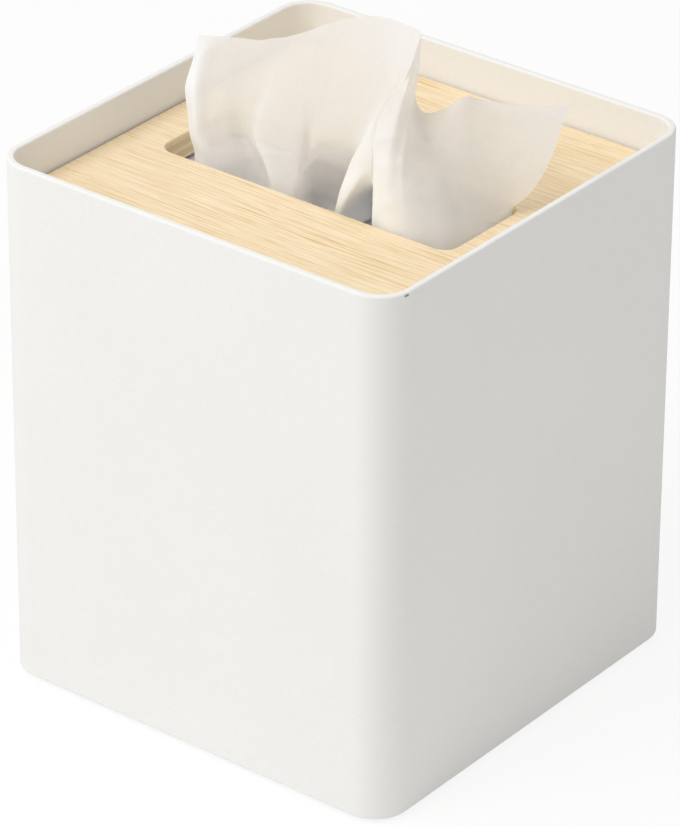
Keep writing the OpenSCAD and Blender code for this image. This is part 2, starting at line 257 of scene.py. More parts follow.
@dataclass(frozen=True)
class AshPlywood:
    """Pale ash veneer over light and dark plies, under a clear matt lacquer.

    Attributes:
        pale: Linear colour of the early wood.
        dark: Linear colour of the grain lines.
        ply_pale: Linear colour of the plies seen along the grain.
        ply_dark: Linear colour of the plies seen across the grain.
        top: Height of the lid's top face, in metres.
        thickness: Thickness of the board, in metres.
        plies: Number of plies.
        line_gap: Distance between neighbouring grain lines, in metres.
    """

    pale: Colour = (0.94, 0.785, 0.555)
    dark: Colour = (0.72, 0.49, 0.21)
    ply_pale: Colour = (0.93, 0.79, 0.53)
    ply_dark: Colour = (0.78, 0.62, 0.38)
    top: float = 0.1437
    thickness: float = 0.0075
    plies: int = 5
    line_gap: float = 0.0006

    def build(self, name: str) -> bpy.types.Material:
        """Builds the board as a material: veneer on the faces and plies on the edges."""
        n = Nodes(name)
        place = n.place()
        veneer, height = self._veneer(n, place)
        plies = self._plies(n, place)
        facing = n.add("SeparateXYZ", {0: n.add("TexCoord").outputs["Normal"]}).outputs[2]
        flat = n.ramp(n.maths("ABSOLUTE", facing), 0.75, 0.95)
        colour = n.mix(flat, plies, veneer)
        normal = n.bump(height, 0.00008, 0.7)
        shader = n.add("BsdfPrincipled", {
            "Base Color": colour, "Roughness": 0.52, "Normal": normal, "Specular IOR Level": 0.35})
        return n.finish(shader.outputs[0])

    def _veneer(self, n: Nodes, place: bpy.types.NodeSocket) -> tuple:
        """Straight, slightly wavy grain along X: bands, fine fibres and short open pores.

        Args:
            n: The tree to build in.
            place: The point on the object.

        Returns:
            The colour and the height of the veneer, as sockets.
        """
        drift = n.noise(n.stretched(place, (7.0, 25.0, 1.0)), 1.0, 2.0)
        parts = n.add("SeparateXYZ", {0: place})
        across = n.maths("ADD", parts.outputs[1], n.maths("MULTIPLY", drift, 0.006))
        grain = n.add("CombineXYZ", {0: parts.outputs[0], 1: across}).outputs[0]
        cells = 1.0 / self.line_gap
        fine = n.noise(n.stretched(grain, (34.0, cells, 1.0)), 1.0, 2.0, 0.6)
        lines = n.ramp(fine, 0.45, 0.62)
        hair = n.ramp(n.noise(n.stretched(grain, (80.0, 2.0 * cells, 1.0)), 1.0, 2.0, 0.6), 0.42, 0.66)
        strong = n.ramp(n.noise(n.stretched(grain, (22.0, 0.45 * cells, 1.0)), 1.0, 1.0), 0.50, 0.70)
        broad = n.noise(n.stretched(place, (10.0, 60.0, 1.0)), 1.0, 2.0)
        pores = n.ramp(n.noise(n.stretched(grain, (160.0, 2.3 * cells, 1.0)), 1.0, 1.0), 0.66, 0.74)
        depth = n.maths("MULTIPLY", lines, n.ramp(strong, 0.0, 1.0, 0.48, 0.85))
        depth = n.maths("ADD", depth, n.maths("MULTIPLY", hair, 0.22))
        depth = n.maths("MULTIPLY", depth, n.ramp(broad, 0.25, 0.75, 0.75, 1.05))
        depth = n.maths("ADD", depth, n.maths("MULTIPLY", pores, 0.30), clamp=True)
        colour = n.mix(depth, self.pale, self.dark)
        height = n.maths("SUBTRACT", 1.0, n.maths("MAXIMUM", pores, n.maths("MULTIPLY", lines, 0.4)))
        return colour, height

    def _plies(self, n: Nodes, place: bpy.types.NodeSocket) -> bpy.types.NodeSocket:
        """Bands down the board's edge, pale and dark in turn, with a thin glue line between.

        Args:
            n: The tree to build in.
            place: The point on the object.

        Returns:
            The colour of the edge, as a socket.
        """
        z = n.add("SeparateXYZ", {0: place}).outputs[2]
        ripple = n.maths("MULTIPLY", n.noise(place, 180.0, 2.0), 0.0004)
        down = n.maths("SUBTRACT", self.top, n.maths("ADD", z, ripple))
        count = n.maths("MULTIPLY", down, self.plies / self.thickness)
        turn = n.maths("MULTIPLY", n.maths("FRACT", n.maths("MULTIPLY", count, 0.5)), 2.0)
        dark = n.ramp(turn, 0.94, 1.06)
        glue = n.ramp(n.maths("PINGPONG", count, 0.5), 0.03, 0.10, 1.0, 0.0)
        fibre = n.noise(n.stretched(place, (500.0, 500.0, 5000.0)), 1.0, 3.0, 0.7)
        colour = n.mix(dark, self.ply_pale, self.ply_dark)
        colour = n.mix(n.ramp(fibre, 0.3, 0.75, 0.0, 0.45), colour, self.ply_dark)
        return n.mix(n.maths("MULTIPLY", glue, 0.45), colour, self.dark)


@dataclass(frozen=True)
class CoatedCard:
    """Plain pale card with a faint fibre and a soft sheen.

    Attributes:
        colour: Linear colour of the print.
        roughness: How matt the card is.
    """

    colour: Colour = linear(0.90, 0.885, 0.925)
    roughness: float = 0.45

    def build(self, name: str) -> bpy.types.Material:
        """Builds the card as a material."""
        n = Nodes(name)
        place = n.place()
        fibre = n.noise(place, 900.0, 4.0, 0.65)
        cloud = n.noise(place, 60.0, 2.0)
        colour = n.tinted(self.colour, n.ramp(fibre, 0.2, 0.8, 0.965, 1.0),
                          n.ramp(cloud, 0.3, 0.7, 0.98, 1.0))
        rough = n.ramp(fibre, 0.2, 0.8, self.roughness - 0.06, self.roughness + 0.08)
        shader = n.add("BsdfPrincipled", {
            "Base Color": colour, "Roughness": rough, "Normal": n.bump(fibre, 0.00003, 0.6)})
        return n.finish(shader.outputs[0])


@dataclass(frozen=True)
class ClearFilm:
    """Thin milky film that lets most light through.

    Attributes:
        colour: Linear colour of the film in its hollows, darker there as painted shade.
        crest: Linear colour of the film on its crinkles, lighter there as a painted highlight.
        haze: Share of the light that the film holds back.
    """

    colour: Colour = linear(0.93, 0.93, 0.96)
    crest: Colour = linear(0.97, 0.97, 0.99)
    haze: float = 0.35

    def build(self, name: str) -> bpy.types.Material:
        """Builds the film as a material."""
        n = Nodes(name)
        crinkle = n.noise(n.place(), 120.0, 3.0, 0.6)
        # The crinkle's height also sets the colour, lighter on its crests and darker in its hollows: a
        # painted highlight and painted shade.
        body = n.add("BsdfPrincipled", {
            "Base Color": n.mix(crinkle, self.colour, self.crest),
            "Roughness": 0.22, "Normal": n.bump(crinkle, 0.0004, 0.6)})
        clear = n.add("BsdfTransparent")
        shader = n.add("MixShader", {0: self.haze, 1: clear.outputs[0], 2: body.outputs[0]})
        return n.finish(shader.outputs[0])


@dataclass(frozen=True)
class PadRubber:
    """Matt dark rubber.

    Attributes:
        colour: Linear colour of the rubber between its grains.
        grain: Linear colour of the grains.
    """

    colour: Colour = linear(0.30, 0.30, 0.29)
    grain: Colour = linear(0.36, 0.36, 0.35)

    def build(self, name: str) -> bpy.types.Material:
        """Builds the rubber as a material."""
        n = Nodes(name)
        grain = n.noise(n.place(), 1800.0, 3.0, 0.6)
        colour = n.mix(grain, self.colour, self.grain)
        shader = n.add("BsdfPrincipled", {
            "Base Color": colour, "Roughness": n.ramp(grain, 0.2, 0.8, 0.75, 0.92),
            "Normal": n.bump(grain, 0.00008, 0.8)})
        return n.finish(shader.outputs[0])


@dataclass(frozen=True)
class TissuePaper:
    """Soft paper that light shines through, whiter where two layers lie together.

    Attributes:
        colour: Linear colour of the paper's face.
        glow: Linear colour of the light that passes through and spreads.
        through: Share of the light that passes through and spreads, in one layer and in two.
        clear: Share of the light that passes straight through, in one layer and in two.
    """

    colour: Colour = linear(0.985, 0.99, 0.995)
    glow: Colour = linear(0.985, 0.965, 0.94)
    through: tuple[float, float] = (0.50, 0.0)
    clear: tuple[float, float] = (0.13, 0.0)

    def build(self, name: str, uv: str | None = None, layers: str | None = None) -> bpy.types.Material:
        """Builds the paper as a material.

        Args:
            name: Name of the material.
            uv: The piece's own map, in metres along the sheet, or None for Object coordinates.
            layers: The piece's own attribute, from 0 for one layer to 1 for two, or None for a
                pile that no light passes through.

        Returns:
            The material.
        """
        n = Nodes(name)
        place = n.add("UVMap", uv_map=uv).outputs[0] if uv else n.place()
        crepe = n.noise(n.stretched(place, (900.0, 3200.0, 900.0)), 1.0, 3.0, 0.65)
        fibre = n.noise(place, 520.0, 4.0, 0.7, 0.6)
        pulp = n.noise(place, 110.0, 3.0, 0.6)
        shades = (n.ramp(pulp, 0.25, 0.75, 0.985, 1.0), n.ramp(fibre, 0.2, 0.8, 0.985, 1.0))
        normal = n.bump(crepe, 0.00004, 0.7)
        normal = n.bump(fibre, 0.0001, 0.6, normal)
        face = n.add("BsdfPrincipled", {
            "Base Color": n.tinted(self.colour, *shades), "Roughness": 0.92,
            "Specular IOR Level": 0.12, "Normal": normal})
        if layers is None:
            return n.finish(face.outputs[0])
        doubled = n.add("Attribute", attribute_name=layers).outputs["Fac"]
        glow = n.add("BsdfTranslucent", {"Color": n.tinted(self.glow, *shades), "Normal": normal})
        passed = n.ramp(doubled, 0.0, 1.0, *self.through)
        paper = n.add("MixShader", {0: passed, 1: face.outputs[0], 2: glow.outputs[0]})
        gaps = n.maths("MULTIPLY", n.ramp(doubled, 0.0, 1.0, *self.clear), n.ramp(pulp, 0.3, 0.7, 0.8, 1.2))
        hole = n.add("BsdfTransparent")
        shader = n.add("MixShader", {0: gaps, 1: paper.outputs[0], 2: hole.outputs[0]})
        return n.finish(shader.outputs[0])


# --------------------------------------------------------------------------------------------
# Surfaces
# --------------------------------------------------------------------------------------------


def spline(rows: np.ndarray, steps: int) -> np.ndarray:
    """Carries a smooth curve through control rows.

    It is a centripetal Catmull-Rom curve: between two rows, each point is a blend of three
    straight lines through four neighbouring rows, and a row's share of the curve goes by the
    square root of its distance to the next, so that close rows make a tight fold.

    Args:
        rows: Control rows, of shape (rows, any, 3).
        steps: Pieces between two rows.

    Returns:
        The curve's rows, of shape ((rows - 1) * steps + 1, any, 3).
    """
    ends = (2 * rows[:1] - rows[1:2], 2 * rows[-1:] - rows[-2:-1])
    padded = np.concatenate([ends[0], rows, ends[1]])
    a, b, c, d = padded[:-3], padded[1:-2], padded[2:-1], padded[3:]

    def knot(low: np.ndarray, high: np.ndarray) -> np.ndarray:
        """Square root of the distance between two rows of points."""
        return np.maximum(np.sqrt(np.linalg.norm(high - low, axis=-1, keepdims=True)), 1e-4)

    t1 = knot(a, b)[:, None]
    t2 = t1 + knot(b, c)[:, None]
    t3 = t2 + knot(c, d)[:, None]
    a, b, c, d = (v[:, None] for v in (a, b, c, d))
    share = np.linspace(0.0, 1.0, steps + 1)[:-1].reshape(1, -1, 1, 1)
    t = t1 + (t2 - t1) * share
    ab = ((t1 - t) * a + t * b) / t1
    bc = ((t2 - t) * b + (t - t1) * c) / (t2 - t1)
    cd = ((t3 - t) * c + (t - t2) * d) / (t3 - t2)
    left = ((t2 - t) * ab + t * bc) / t2
    right = ((t3 - t) * bc + (t - t1) * cd) / (t3 - t1)
    curve = ((t2 - t) * left + (t - t1) * right) / (t2 - t1)
    return np.concatenate([curve.reshape(-1, *rows.shape[1:]), rows[-1:]])


def grid_mesh(name: str, points: np.ndarray, uv: np.ndarray | None = None) -> bpy.types.Object:
    """Makes a smooth-shaded sheet from a grid of points.

    Args:
        name: Name of the piece.
        points: Points in metres, of shape (across, along, 3).
        uv: The sheet's own map, of shape (across, along, 2), or None.

    Returns:
        The new object, at the origin.
    """
    across, along = points.shape[:2]
    index = np.arange(across * along).reshape(across, along)
    quads = np.stack([index[:-1, :-1], index[1:, :-1], index[1:, 1:], index[:-1, 1:]], -1).reshape(-1, 4)
    mesh = bpy.data.meshes.new(name)
    mesh.from_pydata(points.reshape(-1, 3), [], quads)
    mesh.polygons.foreach_set("use_smooth", np.ones(len(quads), bool))
    if uv is not None:
        layer = mesh.uv_layers.new(name="sheet")
        layer.data.foreach_set("uv", uv.reshape(-1, 2)[quads.ravel()].ravel())
    mesh.update()
    piece = bpy.data.objects.new(name, mesh)
    bpy.context.scene.collection.objects.link(piece)
    return piece


def weld(piece: bpy.types.Object) -> None:
    """Merges the points that lie on each other and turns the faces outwards.

    Args:
        piece: The piece to close.
    """
    shell = bmesh.new()
    shell.from_mesh(piece.data)
    bmesh.ops.remove_doubles(shell, verts=shell.verts, dist=1e-6)
    bmesh.ops.recalc_face_normals(shell, faces=shell.faces)
    shell.to_mesh(piece.data)
    shell.free()


def dress(name: str, material: bpy.types.Material) -> None:
    """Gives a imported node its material, in every slot that it has.

    Args:
        name: Name of the node.
        material: The material.
    """
    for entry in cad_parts[name].material_slots:
        entry.material = material
    log.info("%s wears %s", name, material.name)


# --------------------------------------------------------------------------------------------
# Sub-assemblies
# --------------------------------------------------------------------------------------------


@dataclass
class Case:
    """The steel case: sleeve, pan, ledges and pads.

    Attributes:
        chip_down: Distance of the paint chip below the rim.
        chip_from_front: Distance of the paint chip from the front face.
        chip_radius: Half the chip's width.
    """

    chip_down: float = 0.0007
    chip_from_front: float = 0.0080
    chip_radius: float = 0.0009

    def dress(self) -> None:
        """Coats the steel and darkens the pads."""
        low, high = node_box("case_shell")
        at = (high[0], low[1] + self.chip_from_front, high[2] - self.chip_down)
        chip = PaintChip(at, self.chip_radius)
        dress("case_shell", PowderCoat(chip=chip).build("sleeve_powder_coat"))
        coat = PowderCoat().build("plain_powder_coat")
        for name in ("base_pan", "ledge_right", "ledge_back", "ledge_left", "ledge_front"):
            dress(name, coat)
        rubber = PadRubber().build("pad_rubber")
        for number in range(1, 5):
            dress(f"foot_pad_{number}", rubber)


@dataclass
class Lid:
    """The drop-in plywood lid."""

    def dress(self) -> None:
        """Gives the board its veneer and its plies."""
        low, high = node_box("lid_board")
        wood = AshPlywood(top=float(high[2]), thickness=float(high[2] - low[2]))
        dress("lid_board", wood.build("ash_plywood"))


@dataclass
class Carton:
    """The carton and its film."""

    def dress(self) -> None:
        """Prints the card and clears the film."""
        dress("tissue_carton", CoatedCard().build("carton_card"))
        dress("slit_film", ClearFilm().build("slit_film"))


Place = tuple[float, float, float]


@dataclass(frozen=True)
class Pleat:
    """One line of the tissue, from the lid's top face to its free edge, in millimetres.

    Attributes:
        name: What the line is.
        foot: Place of the line in plan, level with the lid's top face.
        waist: Next point up.
        low: Next point up.
        middle: Next point up.
        shoulder: Next point up.
        edge: Point on the free edge.
        crisp: How near the sheet comes to the line before it turns, as a share of the way to
            the neighbouring line, or 0 for a soft turn.
        layers: How much the paper is doubled along the line, from 0 for one layer to 1 for two.
    """

    name: str
    foot: tuple[float, float]
    waist: Place
    low: Place
    middle: Place
    shoulder: Place
    edge: Place
    crisp: float = 0.0
    layers: float = 0.0


# The tissue as it stands: each line follows one fold or one hollow, from left to right.
PLEATS = (
    Pleat("left edge", (-41, -11.5), (-42.5, -11.5, 148), (-43.5, -11, 152.5),
          (-45, -10, 160.5), (-45, -7, 167.5), (-44.5, -5, 174), layers=1.0),
    Pleat("left fold", (-38, -12.5), (-39, -13, 149), (-39.5, -13, 154.5),
          (-41, -11.5, 162), (-42, -8, 168.5), (-42, -5, 174.5), layers=0.9),
    Pleat("left panel", (-34, -11.5), (-35.5, -11, 148.5), (-37, -10.5, 156.5),
          (-38, -9, 162.5), (-38, -6, 169), (-38, -4, 175), layers=0.2),
    Pleat("panel side", (-29.5, -9), (-30.5, -9, 148), (-32.5, -9, 156.5),
          (-32.5, -8, 162), (-32.5, -5, 169), (-32, -3, 176)),
    Pleat("valley", (-26, -6), (-27, -6, 147), (-28, -7, 153.5),
          (-28, -7, 160.5), (-28, -4, 168.5), (-26, -2.5, 177)),
    Pleat("cone side", (-21.5, -7), (-23, -7.5, 147), (-24.5, -9, 152.5),
          (-25, -7, 160.5), (-24.5, -4, 169), (-22, -2, 178.5)),
    Pleat("cone left crease", (-12.5, -14.5), (-17, -12.5, 149.5), (-21, -10.5, 153),
          (-22, -7.5, 160.5), (-20.5, -4, 170), (-18.5, -1, 179.5), crisp=0.3, layers=0.4),
    Pleat("cone front", (-8, -15.5), (-10, -13.5, 152), (-13.5, -11, 158),
          (-13.5, -8, 165.5), (-13.5, -4, 173.5), (-12.5, 0, 182.5)),
    Pleat("cone right crease", (-4, -14.5), (-4, -13, 151.5), (-5, -11.5, 155.5),
          (-8, -7, 167), (-8, -3, 175.5), (-6.5, 1, 186)),
    Pleat("pocket left wall", (-8.5, -5.5), (-8.5, -5.5, 145.5), (-5, -8.5, 151.5),
          (-4.5, -6.5, 166.5), (-4.5, -2, 176.5), (-2.5, 2, 188)),
    Pleat("pocket back left", (-12, 3.5), (-9, 1, 147), (-1, -8, 157),
          (-1, -5.5, 168.5), (-1, -1, 178), (2, 2.5, 190)),
    Pleat("pocket back right", (-3, 6), (-2, 3, 148.5), (5, -7.5, 159.5),
          (6, -5, 172), (6.5, -1.5, 181.5), (8, 2.5, 192)),
    Pleat("leg side", (5.5, -3), (6.5, -2, 151), (9.5, -7.5, 159.5),
          (12.5, -6, 174), (13.5, -2.5, 185), (13.5, 2, 193), layers=0.3),
    Pleat("leg ridge", (9.5, -15), (12, -12.5, 156.5), (17.5, -11.5, 169),
          (21, -9.5, 179.5), (20.5, -5, 187), (18, 1, 193.5), crisp=0.12, layers=1.0),
    Pleat("leg right", (11, -14), (16, -13, 155.5), (19, -12, 170),
          (23, -10, 180.5), (23.5, -6.5, 187.5), (21.5, 0, 194), layers=1.0),
    Pleat("small pocket", (12.5, -2), (18.5, -12, 154), (20, -12, 170.5),
          (24, -10.5, 181), (25.5, -7.5, 188), (24, -1, 194.5), crisp=0.25, layers=0.8),
    Pleat("pillar side", (18.5, -7), (19, -12, 154), (20.5, -12, 171),
          (25, -10.5, 181.5), (27, -8, 188), (25.5, -1.5, 194.5), layers=1.0),
    Pleat("pillar crease", (21, -14.5), (20.5, -13.5, 159), (22, -12.5, 172),
          (26.5, -11, 182), (28, -8.5, 187.5), (26.5, -2, 194), crisp=0.2, layers=1.0),
    Pleat("pillar front", (27, -15.5), (26.5, -15.5, 161.5), (28, -14, 174.5),
          (29, -11, 183), (28, -7.5, 185), (25, 0, 190), layers=1.0),
    Pleat("crest", (32.5, -15), (30, -14, 161.5), (29.5, -11, 172.5),
          (27, -7, 178.5), (25.5, -3.5, 179.5), (22.5, 2.5, 180.5), crisp=0.3, layers=0.5),
    Pleat("lobe start", (38.5, -14), (32.5, -11, 161), (29.5, -7.5, 169),
          (25, -3.5, 171.5), (23, -0.5, 172), (22, 2, 172.5)),
    Pleat("dip", (42.5, -11.5), (35, -8, 160), (30.5, -4.5, 165.5),
          (26.5, -1.5, 169), (25.5, 0, 170), (25.5, 1, 170.5)),
    Pleat("lobe left", (44.5, -6.5), (37, -4.5, 158.5), (33.5, -2, 164.5),
          (31.5, 0, 170), (31.5, 1, 172), (31.5, 2, 173)),
    Pleat("lobe crease", (45.5, -1), (39.5, -0.5, 156.5), (37, 1.5, 164.5),
          (36, 3, 173), (36, 3.5, 176), (36, 4, 177)),
    Pleat("lobe front", (45.5, 4.5), (42.5, 4.5, 154.5), (40.5, 6, 162.5),
          (39.5, 7, 170.5), (39, 7.5, 174), (38.5, 8, 175.5)),
    Pleat("lobe right", (45.5, 9.5), (46, 10, 151.5), (46, 11, 160),
          (46, 12, 167.5), (47, 12.5, 172), (47, 13, 174.5)),
    Pleat("right edge", (45, 14), (49.5, 14.5, 149), (53.5, 15.5, 156.5),
          (56.5, 17, 166), (58, 17.5, 172), (59, 18, 176)),
)


@dataclass
class PulledTissue:
    """The tissue that stands up through the slot, with its tail folded on the pile.

    Attributes:
        flat: Width and length of the sheet before it was folded.
        slit_reach: Half the width of the gather in the slit, in millimetres.
        slit_wave: Reach of the gather's zigzag, in millimetres.
        slit_lean: How far the gather leans to the slit's front side, in millimetres.
        throat_drop: Depth of the narrow throat below the lid's top face, in millimetres.
        steps_across: Grid columns between two pleats.
        steps_up: Grid rows between two levels of a pleat.
        tail_half: Half the width of the tail, in millimetres.
        tail_reach: How far the tail runs to the front, in millimetres.
        tail_return: How far its under layer runs to the back, in millimetres.
        tail_gap: Distance between its two layers, in millimetres.
        tail_rows: Grid rows of the tail.
        crumple: Height of the fine creases, in millimetres.
        opening_out: Heights between which the doubled paper opens out, in millimetres.
    """

    flat: tuple[float, float] = (0.16, 0.19)
    slit_reach: float = 27.0
    slit_wave: float = 0.2
    slit_lean: float = 3.1
    throat_drop: float = 6.5
    steps_across: int = 9
    steps_up: int = 14
    tail_half: float = 51.0
    tail_reach: float = 48.5
    tail_return: float = 46.0
    tail_gap: float = 1.5
    tail_rows: int = 90
    crumple: float = 0.22
    opening_out: tuple[float, float] = (160.0, 180.0)

    def build(self) -> bpy.types.Object:
        """Returns:
            The sheet's object.
        """
        stand = self._stand()
        tail = self._tail(stand[:, 0])
        points = np.concatenate([tail[:, :0:-1], stand], axis=1)
        across = self._lengths(points, 0)
        along = self._lengths(points, 1)
        points = points + self._creases(across, along) * self._normals(points)
        uv = np.stack(np.broadcast_arrays(
            across[:, -1:] / across[-1, -1] * self.flat[0], along.mean(0)[None]), -1)
        sheet = grid_mesh("tissue_sheet", points * MM, uv * (1.0, MM))
        layers = sheet.data.attributes.new("layers", "FLOAT", "POINT")
        layers.data.foreach_set("value", self._layers(points).ravel())
        sheet.data.materials.append(TissuePaper().build("tissue_paper", "sheet", "layers"))
        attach(sheet, BODY)
        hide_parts("pulled_tissue")
        log.info("%s: %d lines, %d faces", sheet.name, len(points), len(sheet.data.polygons))
        return sheet

    def _stand(self) -> np.ndarray:
        """The part from the slit up to the free edge.

        Each pleat starts in the slit, where the starts lie side by side on a zigzag, and passes
        through the throat, which is its foot drawn in a little. Smooth curves then run across
        the pleats at every level, and up through the levels.

        Returns:
            Points in millimetres, of shape (across, up, 3).
        """
        _, lid_high = node_box("lid_board")
        film_low, film_high = node_box("slit_film")
        top = lid_high[2] / MM
        slit = (film_low[2] + film_high[2]) / 2 / MM
        foot = np.array([pleat.foot for pleat in PLEATS])
        count = len(PLEATS)
        share = np.linspace(-1.0, 1.0, count)
        wave = self.slit_wave * (1.0 - 0.5 * share ** 2) * np.sin(2.1 * np.arange(count))
        lean = self.slit_lean * (1.0 - share ** 2)
        start = np.stack([self.slit_reach * share, wave - lean, np.full(count, slit)], -1)
        throat = np.column_stack([foot * (0.97, 0.95), np.full(count, top - self.throat_drop)])
        level = np.column_stack([foot, np.full(count, top + 0.3)])
        rest = np.array([(p.waist, p.low, p.middle, p.shoulder, p.edge) for p in PLEATS])
        cage = np.concatenate([start[:, None], throat[:, None], level[:, None], rest], axis=1)
        net = spline(self._tighten(cage), self.steps_across)
        return np.swapaxes(spline(np.swapaxes(net, 0, 1), self.steps_up), 0, 1)

    def _places(self) -> np.ndarray:
        """Places of the net's lines, counted in pleats: one on each, and two more by a crisp one."""
        return np.array([number + side * pleat.crisp for number, pleat in enumerate(PLEATS)
                         for side in ((-1, 0, 1) if pleat.crisp else (0,))])

    def _tighten(self, cage: np.ndarray) -> np.ndarray:
        """Adds a line close on each side of every crisp fold, so that it turns sharply.

        Args:
            cage: The folds' points, of shape (folds, levels, 3).

        Returns:
            The same with the added lines.
        """
        places = self._places()
        low = np.minimum(places.astype(int), len(cage) - 2)
        share = (places - low)[:, None, None]
        return cage[low] * (1.0 - share) + cage[low + 1] * share

    def _layers(self, points: np.ndarray) -> np.ndarray:
        """How far the paper is doubled: as the folds say, less and less towards the free edge.

        Args:
            points: The sheet's grid in millimetres, of shape (across, along, 3).

        Returns:
            Values from 0 to 1, of shape (across, along).
        """
        places = self._places()
        column = np.linspace(0.0, len(places) - 1.0, len(points))
        at = np.interp(column, np.arange(len(places)), places)
        doubled = np.interp(at, np.arange(len(PLEATS)), [pleat.layers for pleat in PLEATS])
        return doubled[:, None] * np.interp(points[..., 2], self.opening_out, (1.0, 0.25))

    def _tail(self, start: np.ndarray) -> np.ndarray:
        """The part below the slit, spread wide and folded once on the pile.

        A curve in side view drops from the slit, runs to the front, turns under and runs to the
        back. The width grows from the gather to the full width by a smooth step of the length
        run so far, and low waves lift the layers.

        Args:
            start: The row of points in the slit, of shape (across, 3).

        Returns:
            Points in millimetres, of shape (across, rows, 3), from the slit to the tail's end.
        """
        _, pile_high = node_box("tissue_stack")
        under = pile_high[2] / MM + 1.1
        over = under + self.tail_gap
        slit = start[0, 2]
        front = self.tail_reach
        side = np.array([
            (0.0, slit), (-0.5, slit - 4), (-3, slit - 8), (-9, over + 1.2), (-20, over + 0.2),
            (3 - front, over), (-front, (over + under) / 2), (3 - front, under), (-20, under),
            (10, under), (self.tail_return, under)])
        path = spline(np.column_stack([np.zeros(len(side)), side])[:, None], 12)[:, 0]
        run = np.concatenate([[0.0], np.cumsum(np.linalg.norm(np.diff(path, axis=0), axis=1))])
        at = np.linspace(0.0, run[-1], self.tail_rows)
        y, z = np.interp(at, run, path[:, 1]), np.interp(at, run, path[:, 2])
        opened = np.clip(at / 24.0, 0.0, 1.0)
        opened = opened * opened * (3 - 2 * opened)
        share = np.linspace(-1.0, 1.0, len(start))[:, None]
        wide = self.tail_half * share + 0.6 * np.sin(at / 9.0)
        x = start[:, :1] * (1 - opened) + wide * opened
        wave = 0.22 * np.sin(19 * share + at / 14) + 0.14 * np.sin(31 * share - at / 9 + 1.0)
        return np.stack(np.broadcast_arrays(
            x, start[:, 1:2] * (1 - opened) + y, z + wave * opened), -1)

    def _lengths(self, points: np.ndarray, axis: int) -> np.ndarray:
        """Length run along one direction of the grid, from its first line."""
        steps = np.linalg.norm(np.diff(points, axis=axis), axis=-1)
        return np.insert(np.cumsum(steps, axis=axis), 0, 0.0, axis=axis)

    def _normals(self, points: np.ndarray) -> np.ndarray:
        """Unit normals of the grid, from the cross product of its two directions."""
        normal = np.cross(np.gradient(points, axis=0), np.gradient(points, axis=1))
        return normal / np.maximum(np.linalg.norm(normal, axis=-1, keepdims=True), 1e-9)

    def _creases(self, across: np.ndarray, along: np.ndarray) -> np.ndarray:
        """Fine creases: a few slanted waves with sharp crests, each fading in and out.

        Args:
            across: Length run across the sheet, in millimetres.
            along: Length run along the sheet, in millimetres.

        Returns:
            Height above the smooth sheet, in millimetres, of shape (across, along, 1).
        """
        chance = np.random.default_rng(7)
        height = np.zeros_like(across)
        for wave in (9.0, 13.0, 17.0, 24.0, 31.0):
            turn, shift, fade_turn = chance.uniform((-0.5, 0.0, 0.0), (0.5, math.tau, math.tau))
            phase = math.tau * (across * math.cos(turn) + along * math.sin(turn)) / wave + shift
            crest = 1.0 - np.abs(np.sin(phase / 2 + 0.6 * np.sin(along / 11 + shift)))
            fade = 0.5 + 0.5 * np.sin(across / 23 + fade_turn) * np.sin(along / 17 + shift)
            height += (wave / 24.0) * fade * (crest ** 3 - 0.2)
        return (self.crumple * height)[..., None]


